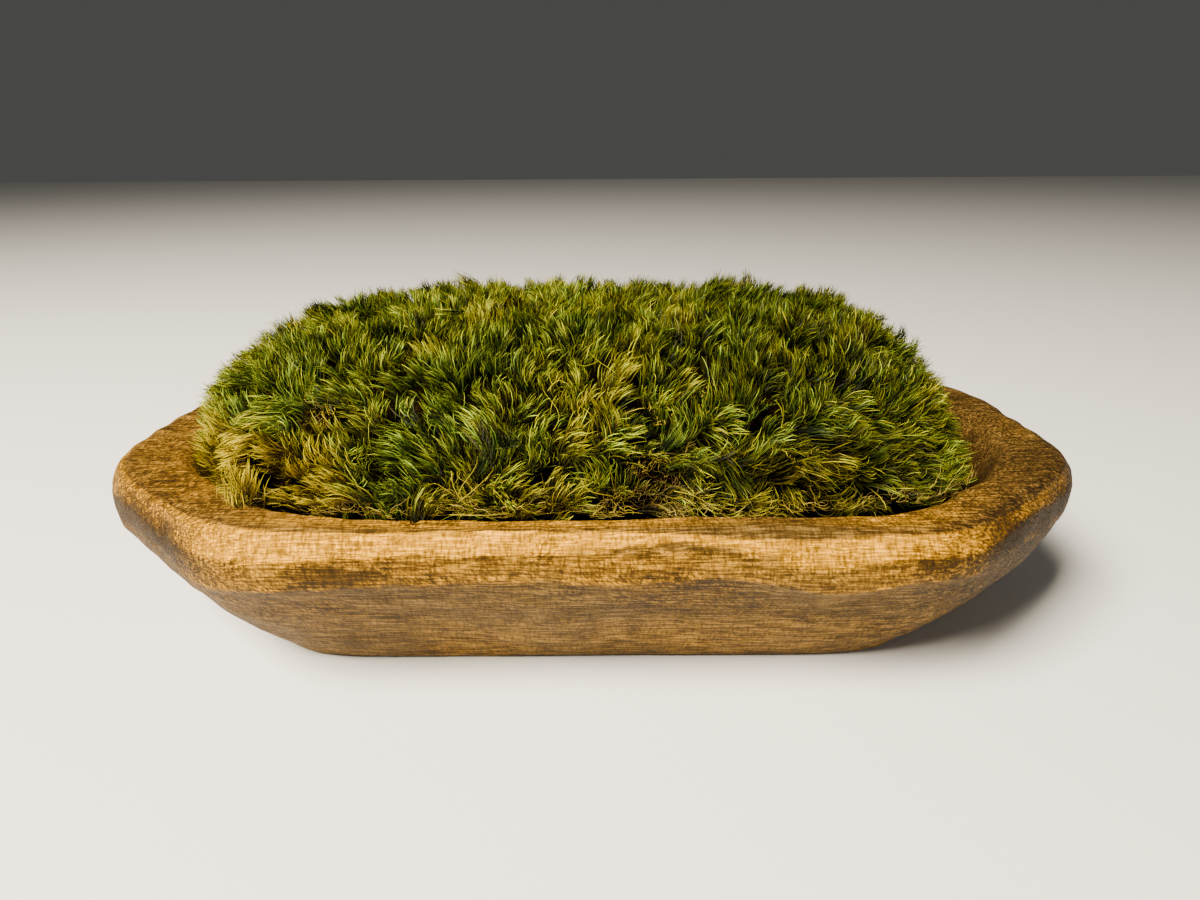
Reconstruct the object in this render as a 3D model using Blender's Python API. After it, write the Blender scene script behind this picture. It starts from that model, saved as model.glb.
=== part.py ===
"""A moss clump pressed into a small hand-carved wooden dough bowl.

Metres, +Z up. The bowl's long axis runs along X, its photographed front faces -Y, and the origin
is under the middle of the object, on the surface that the bowl stands on.
"""

import math

import bmesh
import bpy
from mathutils import Vector, noise

MM = 0.001

# Driving dimensions of the bowl
BOWL_LENGTH = 250 * MM
BOWL_WIDTH = 144 * MM
BOWL_HEIGHT = 46 * MM
CORNER_REACH = 105.5 * MM  # from the middle to each of the four cut corners
CORNER_ANGLE = math.radians(48)  # how far the cut corners face away from the long axis
HOLLOW_SHIFT = 1.5 * MM  # the hollow lies a little towards the right end
BACK_CORNERS = 0.13  # how much fuller the back corners are than the front ones
BOWL_SEGMENTS = 84

# Driving dimensions of the moss
MOSS_TOP = 83 * MM
MOSS_LENGTH = 208 * MM
MOSS_WIDTH = 125 * MM
MOSS_CORNER = 93 * MM
MOSS_SHIFT = -4.5 * MM  # the moss lies towards the bowl's left end
MOSS_SHOULDER = 52 * MM  # height at which the moss is widest
SEAM_DEPTH = 6 * MM  # how far the top sinks where two cushions press together
TUFT_SPACING = 14 * MM
LUMP_HEIGHT = 3.2 * MM
SIDE_DENTS = 1.6 * MM
CUSHION_SEGMENTS = 60

# Gaps between pieces that touch
WALL_GAP = 0.5 * MM
SEAM_GAP = 0.5 * MM

HALF_LENGTH = BOWL_LENGTH / 2
HALF_WIDTH = BOWL_WIDTH / 2

# The bowl's section in millimetres, from the standing face outwards, up, over the rim and down
# into the hollow. Each row is a height, then how far the outline stands inside the widest one at
# the ends, the long sides and the cut corners, then how sharp its corners are, and how far the
# knife strays.
OUTER_SECTION = (
    (0.0, 46.0, 27.0, 24.0, 18, 0.0),
    (1.3, 44.2, 25.4, 22.3, 18, 0.3),
    (9.0, 34.0, 19.5, 16.2, 19, 0.8),
    (18.0, 22.0, 13.4, 9.8, 20, 1.0),
    (27.0, 9.6, 7.0, 3.8, 22, 1.0),
    (33.0, 3.2, 2.7, 1.0, 24, 0.9),
    (35.0, 2.0, 1.4, 0.5, 24, 0.8),
    (38.0, 0.4, 0.3, 0.0, 24, 0.6),
    (41.2, 0.4, 0.6, 0.3, 24, 0.6),
    (42.2, 1.2, 1.3, 0.9, 24, 0.6),
    (45.0, 4.2, 4.0, 2.8, 22, 0.4),
    (46.0, 7.0, 5.6, 4.8, 20, 0.3),
)
HOLLOW_SECTION = (
    (46.0, 12.6, 9.4, 12.0, 14, 0.3),
    (45.0, 14.6, 11.0, 14.0, 13, 0.4),
    (41.0, 17.0, 12.8, 16.4, 12, 0.5),
    (30.0, 23.0, 18.0, 23.0, 11, 0.6),
    (20.0, 32.5, 25.0, 31.5, 10, 0.6),
    (14.0, 45.0, 35.5, 42.5, 9, 0.4),
    (12.2, 62.0, 48.0, 57.0, 8, 0.2),
)

# Where two cushions press together: x of the seam at the front, the middle and the back
LEFT_SEAM = (-52 * MM, -64 * MM, -56 * MM)
RIGHT_SEAM = (14 * MM, 12 * MM, 20 * MM)

# Colours
CARVED_WOOD = (0.36, 0.21, 0.07)
LEFT_MOSS = (0.2, 0.19, 0.03)
MIDDLE_MOSS = (0.15, 0.17, 0.02)
RIGHT_MOSS = (0.13, 0.16, 0.02)


def clear_scene():
    for obj in list(bpy.data.objects):
        bpy.data.objects.remove(obj)


def make_material(name, colour, roughness, metallic=0.0):
    material = bpy.data.materials.new(name)
    material.use_nodes = True
    shader = material.node_tree.nodes["Principled BSDF"]
    shader.inputs["Base Color"].default_value = (*colour, 1.0)
    shader.inputs["Roughness"].default_value = roughness
    shader.inputs["Metallic"].default_value = metallic
    return material


def outline_reach(angle, half_length, half_width, corner, sharpness):
    """Distance from the middle to a rounded eight-sided outline, in the direction of angle."""
    x, y = math.cos(angle), math.sin(angle)
    corner *= 1 + BACK_CORNERS * max(y, 0.0)
    along = x * math.cos(CORNER_ANGLE) / corner
    across = y * math.sin(CORNER_ANGLE) / corner
    sides = (x / half_length, y / half_width, along + across, along - across)
    return sum(abs(side) ** sharpness for side in sides) ** (-1 / sharpness)


def section_reach(angle, row):
    """Distance from the bowl's middle to the carved outline that a section's row describes."""
    height, end_inset, side_inset, corner_inset, sharpness, stray = row
    reach = outline_reach(
        angle,
        HALF_LENGTH - end_inset * MM,
        HALF_WIDTH - side_inset * MM,
        CORNER_REACH - corner_inset * MM,
        sharpness,
    )
    place = Vector((2.3 * math.cos(angle), 2.3 * math.sin(angle), height / 26))
    return reach + stray * MM * noise.noise(place + Vector((4.1, 0.7, 2.9)))


def skin_rings(name, rings, material):
    """One closed solid through rings of points, with a fan over its first and its last ring."""
    bm = bmesh.new()
    loops = [[bm.verts.new(point) for point in ring] for ring in rings]
    count = len(loops[0])
    for lower, upper in zip(loops, loops[1:]):
        for i in range(count):
            j = (i + 1) % count
            bm.faces.new((lower[i], lower[j], upper[j], upper[i]))
    for loop in (loops[0], loops[-1]):
        centre = bm.verts.new(sum((vert.co for vert in loop), Vector()) / count)
        for i in range(count):
            bm.faces.new((centre, loop[i], loop[(i + 1) % count]))
    bmesh.ops.recalc_face_normals(bm, faces=bm.faces)
    mesh = bpy.data.meshes.new(name)
    bm.to_mesh(mesh)
    bm.free()
    mesh.shade_smooth()
    mesh.materials.append(material)
    obj = bpy.data.objects.new(name, mesh)
    bpy.context.scene.collection.objects.link(obj)
    return obj


def bowl_ring(row, shift=0.0):
    points = []
    for step in range(BOWL_SEGMENTS):
        turn = 2 * math.pi * step / BOWL_SEGMENTS
        # Equal steps along the rim, not round the middle
        angle = math.atan2(math.sin(turn) * HALF_WIDTH, math.cos(turn) * HALF_LENGTH)
        reach = section_reach(angle, row)
        points.append((shift + reach * math.cos(angle), reach * math.sin(angle), row[0] * MM))
    return points


def make_bowl(material):
    rings = [bowl_ring(row) for row in OUTER_SECTION]
    rings += [bowl_ring(row, HOLLOW_SHIFT) for row in HOLLOW_SECTION]
    return skin_rings("wooden_bowl", rings, material)


def hollow_row(height):
    """The hollow's section at a height, as a row between the two nearest ones."""
    level = min(max(height / MM, HOLLOW_SECTION[-1][0]), HOLLOW_SECTION[0][0])
    for above, below in zip(HOLLOW_SECTION, HOLLOW_SECTION[1:]):
        if level >= below[0]:
            share = (above[0] - level) / max(above[0] - below[0], 1e-6)
            return tuple(a + (b - a) * share for a, b in zip(above, below))
    return HOLLOW_SECTION[-1]


def inside_hollow(x, y, height):
    x = x - HOLLOW_SHIFT
    return math.hypot(x, y) < section_reach(math.atan2(y, x), hollow_row(height)) - WALL_GAP


def mound_reach(x, y):
    """How far out of the moss's own outline a point lies: 0 in the middle and 1 at the edge."""
    x = x - MOSS_SHIFT
    reach = outline_reach(math.atan2(y, x), MOSS_LENGTH / 2, MOSS_WIDTH / 2, MOSS_CORNER, 8)
    return math.hypot(x, y) / reach


def mound_height(x, y):
    """Height of the whole mound's smooth top, which is flat in the middle and round outside."""
    out = min(mound_reach(x, y), 1.0)
    return MOSS_SHOULDER + (MOSS_TOP - MOSS_SHOULDER) * (1 - out**4.5) ** 0.5


def seam_x(seam, y):
    """The seam's x at y: a bow through its front, middle and back."""
    front, middle, back = seam
    along = min(max(2 * y / MOSS_WIDTH, -1.0), 1.0)
    return middle + along * (back - front) / 2 + along**2 * ((back + front) / 2 - middle)


class Cushion:
    """One cushion of moss, shaped along rays from its own centre: the two seams are None at the
    mound's own ends, and floor is the height of its underside."""

    SHARPNESS = 12  # of the corners between a seam and the mound's own edge
    BODY_STEPS = (0.0, 0.12, 0.3, 0.52, 0.74, 0.9)  # from the floor up to the widest ring
    TOP_STEPS = (1.0, 0.985, 0.95, 0.9, 0.83, 0.75, 0.66, 0.56, 0.45, 0.34, 0.22, 0.1)  # inwards

    def __init__(self, centre, floor, left, right):
        self.centre, self.floor, self.left, self.right = centre, floor, left, right

    def distance(self, angle, is_inside):
        """How far one can go from the centre before leaving a region, by halving."""
        low, high = 0.0, BOWL_LENGTH
        if is_inside(*self.point(angle, high)):
            return math.inf
        for _ in range(20):
            middle = (low + high) / 2
            if is_inside(*self.point(angle, middle)):
                low = middle
            else:
                high = middle
        return low

    def point(self, angle, distance):
        x = self.centre[0] + distance * math.cos(angle)
        return x, self.centre[1] + distance * math.sin(angle)

    def between_seams(self, x, y):
        after_left = self.left is None or x > seam_x(self.left, y) + SEAM_GAP / 2
        before_right = self.right is None or x < seam_x(self.right, y) - SEAM_GAP / 2
        return after_left and before_right

    def reach(self, angle, height):
        """Distance from the centre to the cushion's side at a height."""
        edge = self.distance(angle, lambda x, y: mound_reach(x, y) < 1.0)
        if height < BOWL_HEIGHT + 1.5 * MM:
            edge = min(edge, self.distance(angle, lambda x, y: inside_hollow(x, y, height)))
        seam = self.distance(angle, self.between_seams)
        reach = (edge**-self.SHARPNESS + seam**-self.SHARPNESS) ** (-1 / self.SHARPNESS)
        dents = 0.5 + noise.noise(Vector((*self.point(angle, reach), height)) / (14 * MM))
        return reach - SIDE_DENTS * max(dents, 0.0)

    def at_seam(self, angle):
        """1 where the cushion's side is a seam, and 0 where it is the mound's own edge."""
        seam = self.distance(angle, self.between_seams)
        edge = self.distance(angle, lambda x, y: mound_reach(x, y) < 1.0)
        share = min(max((edge / seam - 0.9) / 0.4, 0.0), 1.0)
        return share * share * (3 - 2 * share)

    def top_height(self, x, y, out, at_seam):
        rise = (1 - out**5) ** 0.6
        smooth = mound_height(x, y) - SEAM_DEPTH * at_seam * (1 - rise)
        return max(smooth, MOSS_SHOULDER) + rise * tuft_lumps(x, y)

    def rings(self):
        angles = [2 * math.pi * step / CUSHION_SEGMENTS for step in range(CUSHION_SEGMENTS)]
        widest = [self.reach(angle, MOSS_SHOULDER) for angle in angles]
        seams = [self.at_seam(angle) for angle in angles]
        edges = [
            self.top_height(*self.point(angle, reach), 1.0, at_seam)
            for angle, reach, at_seam in zip(angles, widest, seams)
        ]
        made = []
        for step in self.BODY_STEPS:
            heights = [self.floor + step * (edge - self.floor) for edge in edges]
            made.append([
                (*self.point(angle, self.reach(angle, height)), height)
                for angle, height in zip(angles, heights)
            ])
        for out in self.TOP_STEPS:
            ring = []
            for angle, reach, at_seam in zip(angles, widest, seams):
                x, y = self.point(angle, out * reach)
                ring.append((x, y, self.top_height(x, y, out, at_seam)))
            made.append(ring)
        return made


def tuft_lumps(x, y):
    """Height of the soft lumps that single tufts, and groups of them, make on the top."""
    tufts = noise.noise(Vector((x, y, 0.0)) / TUFT_SPACING)
    groups = noise.noise(Vector((x, y, 0.1)) / (2.5 * TUFT_SPACING))
    return LUMP_HEIGHT * (tufts + groups)


def main():
    clear_scene()
    make_bowl(make_material("carved_wood", CARVED_WOOD, 0.6))
    cushions = {
        "left": (Cushion((-74 * MM, 0.0), 16 * MM, None, LEFT_SEAM), LEFT_MOSS),
        "middle": (Cushion((-24 * MM, 0.0), 12.8 * MM, LEFT_SEAM, RIGHT_SEAM), MIDDLE_MOSS),
        "right": (Cushion((52 * MM, 0.0), 13.2 * MM, RIGHT_SEAM, None), RIGHT_MOSS),
    }
    for side, (cushion, colour) in cushions.items():
        material = make_material(f"{side}_moss", colour, 0.75)
        skin_rings(f"moss_cushion_{side}", cushion.rings(), material)


main()
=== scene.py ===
"""Looks of a moss clump that fills a small hand-carved wooden dough bowl.

Metres, +Z up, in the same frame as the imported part: the bowl's long axis lies along X and its
photographed side faces -Y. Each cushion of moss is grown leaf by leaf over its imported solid.
"""

import logging
import math
from collections.abc import Iterator
from dataclasses import dataclass, field, fields
from enum import Enum
from typing import Any

import bmesh
import bpy
import numpy as np
from mathutils import Matrix, Vector, noise


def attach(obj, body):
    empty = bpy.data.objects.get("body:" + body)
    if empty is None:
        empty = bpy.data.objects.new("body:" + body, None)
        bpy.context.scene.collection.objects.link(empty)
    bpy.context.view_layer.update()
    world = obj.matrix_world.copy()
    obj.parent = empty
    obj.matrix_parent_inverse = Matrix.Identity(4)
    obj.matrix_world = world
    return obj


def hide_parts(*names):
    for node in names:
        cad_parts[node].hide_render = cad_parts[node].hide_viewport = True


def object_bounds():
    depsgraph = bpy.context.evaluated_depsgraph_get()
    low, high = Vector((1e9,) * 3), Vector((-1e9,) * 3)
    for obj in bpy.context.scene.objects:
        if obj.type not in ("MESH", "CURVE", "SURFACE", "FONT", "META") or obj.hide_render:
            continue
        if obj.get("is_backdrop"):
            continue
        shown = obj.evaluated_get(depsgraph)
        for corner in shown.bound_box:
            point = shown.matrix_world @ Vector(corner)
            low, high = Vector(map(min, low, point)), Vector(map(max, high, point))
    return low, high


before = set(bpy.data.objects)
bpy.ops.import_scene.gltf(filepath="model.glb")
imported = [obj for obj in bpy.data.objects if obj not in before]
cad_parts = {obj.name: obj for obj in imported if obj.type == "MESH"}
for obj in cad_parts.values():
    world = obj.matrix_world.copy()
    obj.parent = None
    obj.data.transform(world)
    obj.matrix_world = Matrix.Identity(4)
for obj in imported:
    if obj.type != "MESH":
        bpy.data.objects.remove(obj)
packed_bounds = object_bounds()

Point = tuple[float, float, float]
Row = tuple[float, ...]
Stops = tuple[tuple[float, str], ...]

MM = 0.001
# Which way the outlines' slanting sides face, and how much further out the far ones stand
CORNER_ANGLE = math.radians(48)
BACK_CORNERS = 0.13
# Corners of a solid that lie this close are one
SAME_PLACE = 1e-6
log = logging.getLogger("moss clump")


def linear(colour: str) -> tuple[float, float, float, float]:
    """Turns an sRGB hex colour to linear light.

    Args:
        colour: six hex digits, such as "8a9a1c".

    Returns:
        Red, green, blue and an alpha of 1.
    """
    parts = [int(colour[at : at + 2], 16) / 255 for at in (0, 2, 4)]
    red, green, blue = [p / 12.92 if p <= 0.04045 else ((p + 0.055) / 1.055) ** 2.4 for p in parts]
    return red, green, blue, 1.0


def per_metre(size_mm: float) -> float:
    """The pattern scale whose features measure size_mm, for coordinates in metres."""
    return 1.0 / (size_mm * MM)


def unit(vectors: np.ndarray) -> np.ndarray:
    """Vectors along the last axis, each scaled to a length of 1."""
    return vectors / np.maximum(np.linalg.norm(vectors, axis=-1, keepdims=True), 1e-12)


def fade(values: np.ndarray, low: float, high: float) -> np.ndarray:
    """0 at low and below, 1 at high and above, and smooth between them."""
    share = np.clip((values - low) / (high - low), 0.0, 1.0)
    return share * share * (3 - 2 * share)


@dataclass(frozen=True)
class Band:
    """A stretch of some measure with soft ends."""

    start: float
    full: float
    fading: float
    end: float

    def at(self, values: np.ndarray) -> np.ndarray:
        """How much of the band there is at each value, from 0 to 1."""
        return fade(values, self.start, self.full) * (1 - fade(values, self.fading, self.end))


def outline_reach(
    angle: np.ndarray, half_length: float, half_width: float, corner: float, sharpness: float
) -> np.ndarray:
    """Distance from the middle to a long eight-sided outline with rounded corners.

    Args:
        angle: the directions, in radians from +X.
        half_length: half its length.
        half_width: half its width.
        corner: the reach of the four slanting sides; the far ones stand a little further out.
        sharpness: how sharp the eight corners are.

    Returns:
        The distance for each direction.
    """
    x, y = np.cos(angle), np.sin(angle)
    reach = corner * (1 + BACK_CORNERS * np.maximum(y, 0.0))
    along = x * math.cos(CORNER_ANGLE) / reach
    across = y * math.sin(CORNER_ANGLE) / reach
    sides = np.stack((x / half_length, y / half_width, along + across, along - across))
    return (np.abs(sides) ** sharpness).sum(axis=0) ** (-1 / sharpness)


def column_angles(count: int, length: float, width: float) -> np.ndarray:
    """Directions that lie about evenly along a long outline.

    Args:
        count: how many columns of points go round it.
        length: its length.
        width: its width.

    Returns:
        The direction of each column, in radians from +X.
    """
    turns = 2 * np.pi * np.arange(count) / count
    return np.arctan2(np.sin(turns) * width, np.cos(turns) * length)


def ring_walls(rows: int, columns: int) -> np.ndarray:
    """Faces between closed rings of points.

    Args:
        rows: how many rings there are.
        columns: how many points each ring has.

    Returns:
        One row of four vertex numbers for each face.
    """
    numbers = np.arange(rows * columns).reshape(rows, columns)
    after = np.roll(numbers, -1, axis=1)
    return np.stack((numbers[:-1], after[:-1], after[1:], numbers[1:]), axis=-1).reshape(-1, 4)


def curve_weights(along: np.ndarray) -> np.ndarray:
    """The weights of a Bezier curve's four points, one row each, at places from 0 to 1."""
    left = 1 - along
    return np.stack((left**3, 3 * along * left**2, 3 * along**2 * left, along**3))


def add_node(
    tree: bpy.types.NodeTree,
    kind: str,
    inputs: dict[str | int, Any] | None = None,
    stops: Stops = (),
    **settings: Any,
) -> bpy.types.Node:
    """Adds a node with its settings and links.

    Args:
        tree: the node tree that it joins.
        kind: Blender's name for the node's type, without "ShaderNode".
        inputs: for each input, by name or place, a value, or the output that it is linked to.
        stops: a colour ramp's positions and sRGB hex colours.
        settings: the node's own properties.

    Returns:
        The new node.
    """
    node = tree.nodes.new(f"ShaderNode{kind}")
    for name, value in settings.items():
        setattr(node, name, value)
    for place, value in (inputs or {}).items():
        if isinstance(value, bpy.types.NodeSocket):
            tree.links.new(value, node.inputs[place])
        else:
            node.inputs[place].default_value = value
    for index, (position, colour) in enumerate(stops):
        ramp = node.color_ramp.elements
        stop = ramp[index] if index < 2 else ramp.new(position)
        stop.position, stop.color = position, linear(colour)
    return node


def new_material(name: str) -> tuple[bpy.types.Material, bpy.types.NodeTree, bpy.types.Node]:
    """Makes a material.

    Args:
        name: what it is called.

    Returns:
        The material, its node tree and its Principled shader.
    """
    material = bpy.data.materials.new(name)
    material.use_nodes = True
    return material, material.node_tree, material.node_tree.nodes["Principled BSDF"]


def new_object(name: str, data: bpy.types.ID) -> bpy.types.Object:
    """Puts a mesh, a light or a camera into the scene.

    Args:
        name: what the object is called.
        data: what it holds.

    Returns:
        The object.
    """
    made = bpy.data.objects.new(name, data)
    bpy.context.scene.collection.objects.link(made)
    return made


def new_piece(
    name: str, points: np.ndarray, faces: list[np.ndarray], material: bpy.types.Material
) -> bpy.types.Object:
    """Makes a mesh object from arrays.

    Args:
        name: what the piece is called.
        points: its vertices, in metres.
        faces: arrays of vertex numbers, each with one row for a face.
        material: its only material.

    Returns:
        The object, in the scene, smooth shaded.
    """
    mesh = bpy.data.meshes.new(name)
    corners = np.concatenate([group.reshape(-1) for group in faces])
    sizes = np.concatenate([np.full(len(group), group.shape[1]) for group in faces])
    mesh.vertices.add(len(points))
    mesh.vertices.foreach_set("co", np.ascontiguousarray(points, np.float32).reshape(-1))
    mesh.loops.add(len(corners))
    mesh.loops.foreach_set("vertex_index", corners.astype(np.int32))
    mesh.polygons.add(len(sizes))
    mesh.polygons.foreach_set("loop_start", (np.cumsum(sizes) - sizes).astype(np.int32))
    mesh.update(calc_edges=True)
    mesh.validate()
    mesh.shade_smooth()
    mesh.materials.append(material)
    return new_object(name, mesh)


def paint(piece: bpy.types.Object, name: str, values: np.ndarray) -> None:
    """Stores up to four numbers a vertex on a piece, for its material to read.

    Args:
        piece: the object.
        name: the attribute's name.
        values: one row of numbers for each vertex.
    """
    rows = np.zeros((len(piece.data.vertices), 4), np.float32)
    rows[:, : values.shape[1]] = values
    attribute = piece.data.attributes.new(name, "FLOAT_COLOR", "POINT")
    attribute.data.foreach_set("color", rows.reshape(-1))


class SmoothField:
    """A smooth random number at each point of space, as a sum of plane waves."""

    WAVES = 14

    def __init__(self, seed: int, wavelength: float) -> None:
        """Draws the waves.

        Args:
            seed: makes the same field each run.
            wavelength: about how far apart the field's hills are, in metres.
        """
        rng = np.random.default_rng(seed)
        lengths = wavelength * rng.uniform(0.7, 1.5, (self.WAVES, 1))
        self.waves = unit(rng.normal(size=(self.WAVES, 3))) * 2 * math.pi / lengths
        self.phases = rng.uniform(0, 2 * math.pi, self.WAVES)

    def at(self, points: np.ndarray) -> np.ndarray:
        """The field at each point, about -1 to 1 for most of them."""
        return np.sin(points @ self.waves.T + self.phases).sum(axis=-1) / math.sqrt(self.WAVES)


@dataclass(frozen=True)
class MossLeaf:
    """Living moss: thin waxy leaves that are lighter and yellower towards their tips.

    The painted attribute "leaf" says how far along its leaf a vertex is, how golden and how dead
    the leaf is, and how light, which carries painted shade and highlight as well as each leaf's
    own tone. Each ramp is near black at the root, partly the old leaves' own dark and partly
    painted shade deep in the moss. So one finish gives the eye dark gaps of painted shade,
    olive leaves, gold tufts and brown ones.
    """

    name: str = "moss leaf"
    # Each ramp runs from a leaf's root to its tip; its near-black root is partly painted shade
    green: Stops = (
        (0.0, "060903"),
        (0.25, "15230b"),
        (0.5, "384f14"),
        (0.74, "647b26"),
        (1.0, "8b9e22"),
    )
    gold: Stops = (
        (0.0, "0e0a00"),
        (0.25, "382b06"),
        (0.5, "7b660e"),
        (0.74, "a7920c"),
        (1.0, "bfb004"),
    )
    dead: Stops = ((0.0, "0e0903"), (0.5, "302009"), (1.0, "8a7440"))
    roughness: float = 0.4
    wax_gloss: float = 0.04

    def material(self) -> bpy.types.Material:
        """Builds the material.

        Returns:
            The leaves' material.
        """
        material, tree, shader = new_material(self.name)
        leaf = add_node(tree, "Attribute", attribute_name="leaf")
        parts = add_node(tree, "SeparateColor", {"Color": leaf.outputs["Color"]})
        along = {"Fac": parts.outputs["Red"]}
        colour = add_node(tree, "ValToRGB", along, self.green).outputs["Color"]
        for part, stops in (("Green", self.gold), ("Blue", self.dead)):
            other = add_node(tree, "ValToRGB", along, stops).outputs["Color"]
            share = {"Fac": parts.outputs[part], "Color1": colour, "Color2": other}
            colour = add_node(tree, "MixRGB", share).outputs["Color"]
        lit = {"Color": colour, "Value": leaf.outputs["Alpha"]}
        colour = add_node(tree, "HueSaturation", lit).outputs["Color"]
        tree.links.new(colour, shader.inputs["Base Color"])
        shader.inputs["Roughness"].default_value = self.roughness
        shader.inputs["Specular IOR Level"].default_value = self.wax_gloss
        return material


@dataclass(frozen=True)
class ShadedMossDuff:
    """Matted brown lower stems of moss: soft, dull, finely fibrous, darkened with painted shade.
    """

    name: str = "shaded moss duff"
    # Near black for painted shade deep in the moss, up to the stems' own dark brown
    stops: Stops = ((0.35, "020201"), (0.5, "070601"), (0.62, "181004"), (0.75, "2c1c08"))
    # One fibre is too fine to show, so the pattern is as coarse as the strands they mat into
    fibre_mm: float = 0.9
    relief: float = 0.6 * MM
    roughness: float = 0.9

    def material(self) -> bpy.types.Material:
        """Builds the material.

        Returns:
            The duff's material.
        """
        material, tree, shader = new_material(self.name)
        matted = {
            "Vector": add_node(tree, "TexCoord").outputs["Object"],
            "Scale": per_metre(self.fibre_mm),
            "Detail": 6.0,
            "Distortion": 1.5,
        }
        fibres = add_node(tree, "TexNoise", matted).outputs["Fac"]
        colour = add_node(tree, "ValToRGB", {"Fac": fibres}, self.stops)
        raised = {"Height": fibres, "Distance": self.relief, "Strength": 1.0}
        bump = add_node(tree, "Bump", raised)
        tree.links.new(colour.outputs["Color"], shader.inputs["Base Color"])
        tree.links.new(bump.outputs["Normal"], shader.inputs["Normal"])
        shader.inputs["Roughness"].default_value = self.roughness
        shader.inputs["Specular IOR Level"].default_value = 0.0
        return material


@dataclass(frozen=True)
class Streaks:
    """Fine streaks in wood: a noise that is stretched along them and cut off below.

    Their X axis dips and swings from the bowl's by the two angles of turned, in radians. stretch
    says how many times their width they measure along their own three axes, and clear at what
    noise a streak begins and is full.
    """

    width_mm: float
    stretch: Point
    turned: tuple[float, float]
    clear: tuple[float, float]

    def draw(self, tree: bpy.types.NodeTree, place: bpy.types.NodeSocket) -> bpy.types.NodeSocket:
        """Draws the streaks.

        Args:
            tree: the material's nodes.
            place: the coordinates.

        Returns:
            How much of a streak there is, from 0 to 1.
        """
        laid = {"Vector": place, "Rotation": (0.0, *self.turned), "Scale": self.stretch}
        mapped = add_node(tree, "Mapping", laid, vector_type="TEXTURE")
        fine = {
            "Vector": mapped.outputs["Vector"],
            "Scale": per_metre(self.width_mm) / 2,
            "Detail": 3.0,
            "Roughness": 0.6,
        }
        grain = add_node(tree, "TexNoise", fine).outputs["Fac"]
        cut = {"Value": grain, "From Min": self.clear[0], "From Max": self.clear[1]}
        return add_node(tree, "MapRange", cut).outputs["Result"]


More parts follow.
